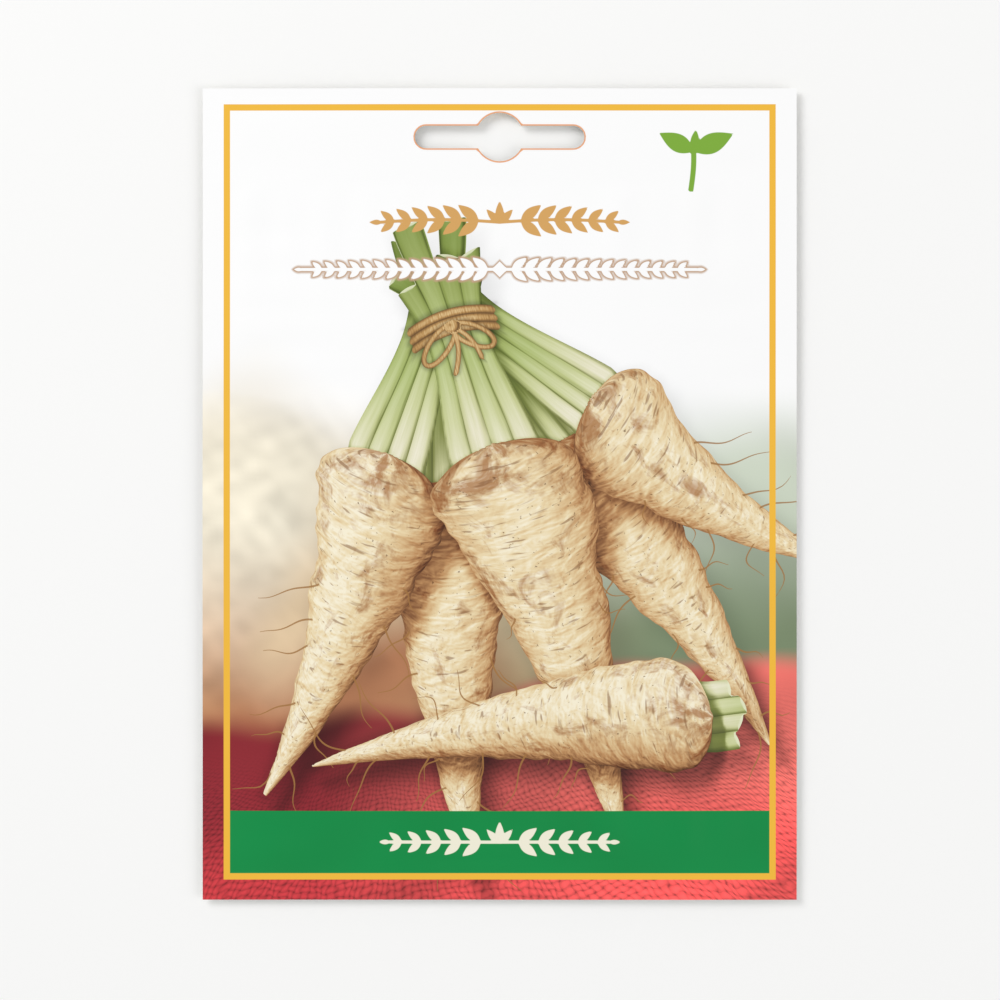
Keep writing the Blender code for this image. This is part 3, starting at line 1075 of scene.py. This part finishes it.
def dry_seed_coat():
    """Dried seed coat, ribbed and matt: a dull brown that drifts, with pale rubbed specks."""
    made, add, shader = finish("dry_seed_coat")
    place = add("TexCoord").outputs["Object"]
    coat = add("ValToRGB", add("TexNoise", place, 420.0, 1.0), ramp=(
        (0.3, "#54402A"), (0.7, "#9C8056"), (0.5, "#7A613D")))
    rub = add("MapRange", add("TexNoise", place, 4200.0, 2.0), 0.58, 0.72, 0.0, 0.6)
    coat = add("Mix.RGBA", rub, coat, "#BBA47C")
    relief = add("Bump")
    wire(relief, {"Height": rub, "Strength": 0.4, "Distance": 0.00005})
    wire(shader, {"Base Color": coat, "Normal": relief, "Roughness": 0.8})
    return made


# The scene


def stand_in(piece, node):
    """Puts a piece in the place of its solid."""
    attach(piece, "root")
    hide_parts(node)


def show_sheets():
    """Both sheets, each in the place of its solid."""
    film, edge = milky_sealing_film(), cut_paper_edge()
    front, points = sheet_mesh("front_sheet", front_outer, front_inner, PRINT_ZONES, True,
                               (offset_printed_laminate(), film, edge))
    store_print(front.data, points)
    back, points = sheet_mesh("back_sheet", back_outer, back_inner, BACK_ZONES, False,
                              (back_printed_laminate(), film, edge))
    store(back.data, "growth", growth_fields(-points[:, 0], points[:, 1]))
    stand_in(front, "front_web")
    stand_in(back, "back_web")


def ribbed_seed():
    """One seed along X, of size 1: a sphere's rings, swollen by five ribs. Gives its points and faces."""
    turn = np.linspace(0, 2 * math.pi, SEED_SIDES, endpoint=False)
    rise = np.linspace(0, math.pi, SEED_RINGS + 1)[1:-1, None]
    radius = np.sin(rise) ** 0.9 * (1 + 0.10 * np.cos(5 * turn))
    rings = np.stack((np.cos(rise) + 0 * turn, radius * np.cos(turn), radius * np.sin(turn)), -1)
    rings = rings.reshape(-1, 3)
    points = np.concatenate((rings, [(1.0, 0.0, 0.0), (-1.0, 0.0, 0.0)])) / 2
    north, south = len(rings), len(rings) + 1
    last = north - SEED_SIDES
    faces = []
    for side in range(SEED_SIDES):
        following = (side + 1) % SEED_SIDES
        for ring in range(0, last, SEED_SIDES):
            near, far = ring + side, ring + following
            faces.append((near, near + SEED_SIDES, far + SEED_SIDES, far))
        faces.append((north, side, following))
        faces.append((south, last + following, last + side))
    return points, faces


def seed_heap():
    """The loose seeds, on a golden-angle spiral over a low heap, tipped and turned at random."""
    draw = np.random.default_rng(SEED_DRAW)
    share = HEAP_SPREAD * np.sqrt((np.arange(SEED_COUNT) + 0.5) / SEED_COUNT)
    angle = np.arange(SEED_COUNT) * GOLDEN_ANGLE
    level = draw.uniform(0.0, 1.0, SEED_COUNT) ** 0.5
    centre = np.column_stack((
        HEAP_HALF_WIDTH * share * np.cos(angle),
        HEAP_Y + HEAP_HALF_LENGTH * share * np.sin(angle),
        HEAP_FLOOR + SEED_SIZE[2] / 2 + 0.05 + level * HEAP_HEIGHT * np.clip(1 - share**2, 0, 1) ** 0.6,
    ))
    yaw = draw.uniform(0.0, 2 * math.pi, (SEED_COUNT, 1))
    tip = draw.uniform(-0.3, 0.3, (SEED_COUNT, 1))
    scale = draw.uniform(0.85, 1.08, (SEED_COUNT, 1, 1))
    body, faces = ribbed_seed()
    x, y, z = (body * SEED_SIZE).T
    x, z = turned(x, z, -np.degrees(tip))
    x, y = turned(x, y, -np.degrees(yaw))
    points = np.stack((x, y, z), -1) * scale + centre[:, None]
    mesh = bpy.data.meshes.new("loose_seeds")
    every = [tuple(i * len(body) + corner for corner in face) for i in range(SEED_COUNT) for face in faces]
    mesh.from_pydata((points.reshape(-1, 3) * MM).tolist(), [], every)
    mesh.materials.append(dry_seed_coat())
    mesh.shade_smooth()
    stand_in(show("loose_seeds", mesh), "seeds")


def floor():
    """A plain pale floor far wider than the view, of matt white card."""
    mesh = bpy.data.meshes.new("floor")
    corners = [(x * FLOOR_REACH, y * FLOOR_REACH, 0.0) for x, y in ((-1, -1), (1, -1), (1, 1), (-1, 1))]
    mesh.from_pydata(corners, [], [(0, 1, 2, 3)])
    made, _, shader = finish("matt_white_card")
    wire(shader, {"Base Color": "#FCFCFB", "Roughness": 0.9})
    mesh.materials.append(made)
    show("floor", mesh)


def studio():
    """Soft light from two large panels and a white sky."""
    scene = bpy.context.scene
    scene.view_settings.view_transform = "Standard"
    world = bpy.data.worlds.new("studio")
    scene.world = world
    world.use_nodes = True
    wire(world.node_tree.nodes["Background"], {"Color": "#FFFFFF", "Strength": SKY})
    for name, place, size, power in PANELS:
        lamp = bpy.data.lights.new(name, "AREA")
        lamp.size = size
        lamp.energy = power
        panel = show(name, lamp)
        panel.location = place
        panel.rotation_euler = Vector(place).to_track_quat("Z", "Y").to_euler()


def camera():
    """Straight above the packet, so far off that the packet fills the same share as in the photo."""
    lens = bpy.data.cameras.new("camera")
    lens.lens = LENS
    lens.sensor_width = SENSOR
    lens.clip_start = 0.01
    view = show("camera", lens)
    pixel = MM_PER_PIXEL * MM
    top = (RIM_LIFT + SEAL_GAP + 2 * WEB) * MM
    view.location = (
        (PHOTO_PIXELS / 2 - PHOTO_CENTRE[0]) * pixel,
        (PHOTO_CENTRE[1] - PHOTO_PIXELS / 2) * pixel,
        PHOTO_PIXELS * pixel * LENS / SENSOR + top,
    )
    bpy.context.scene.camera = view


def main():
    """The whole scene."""
    camera()
    studio()
    floor()
    show_sheets()
    seed_heap()


main()
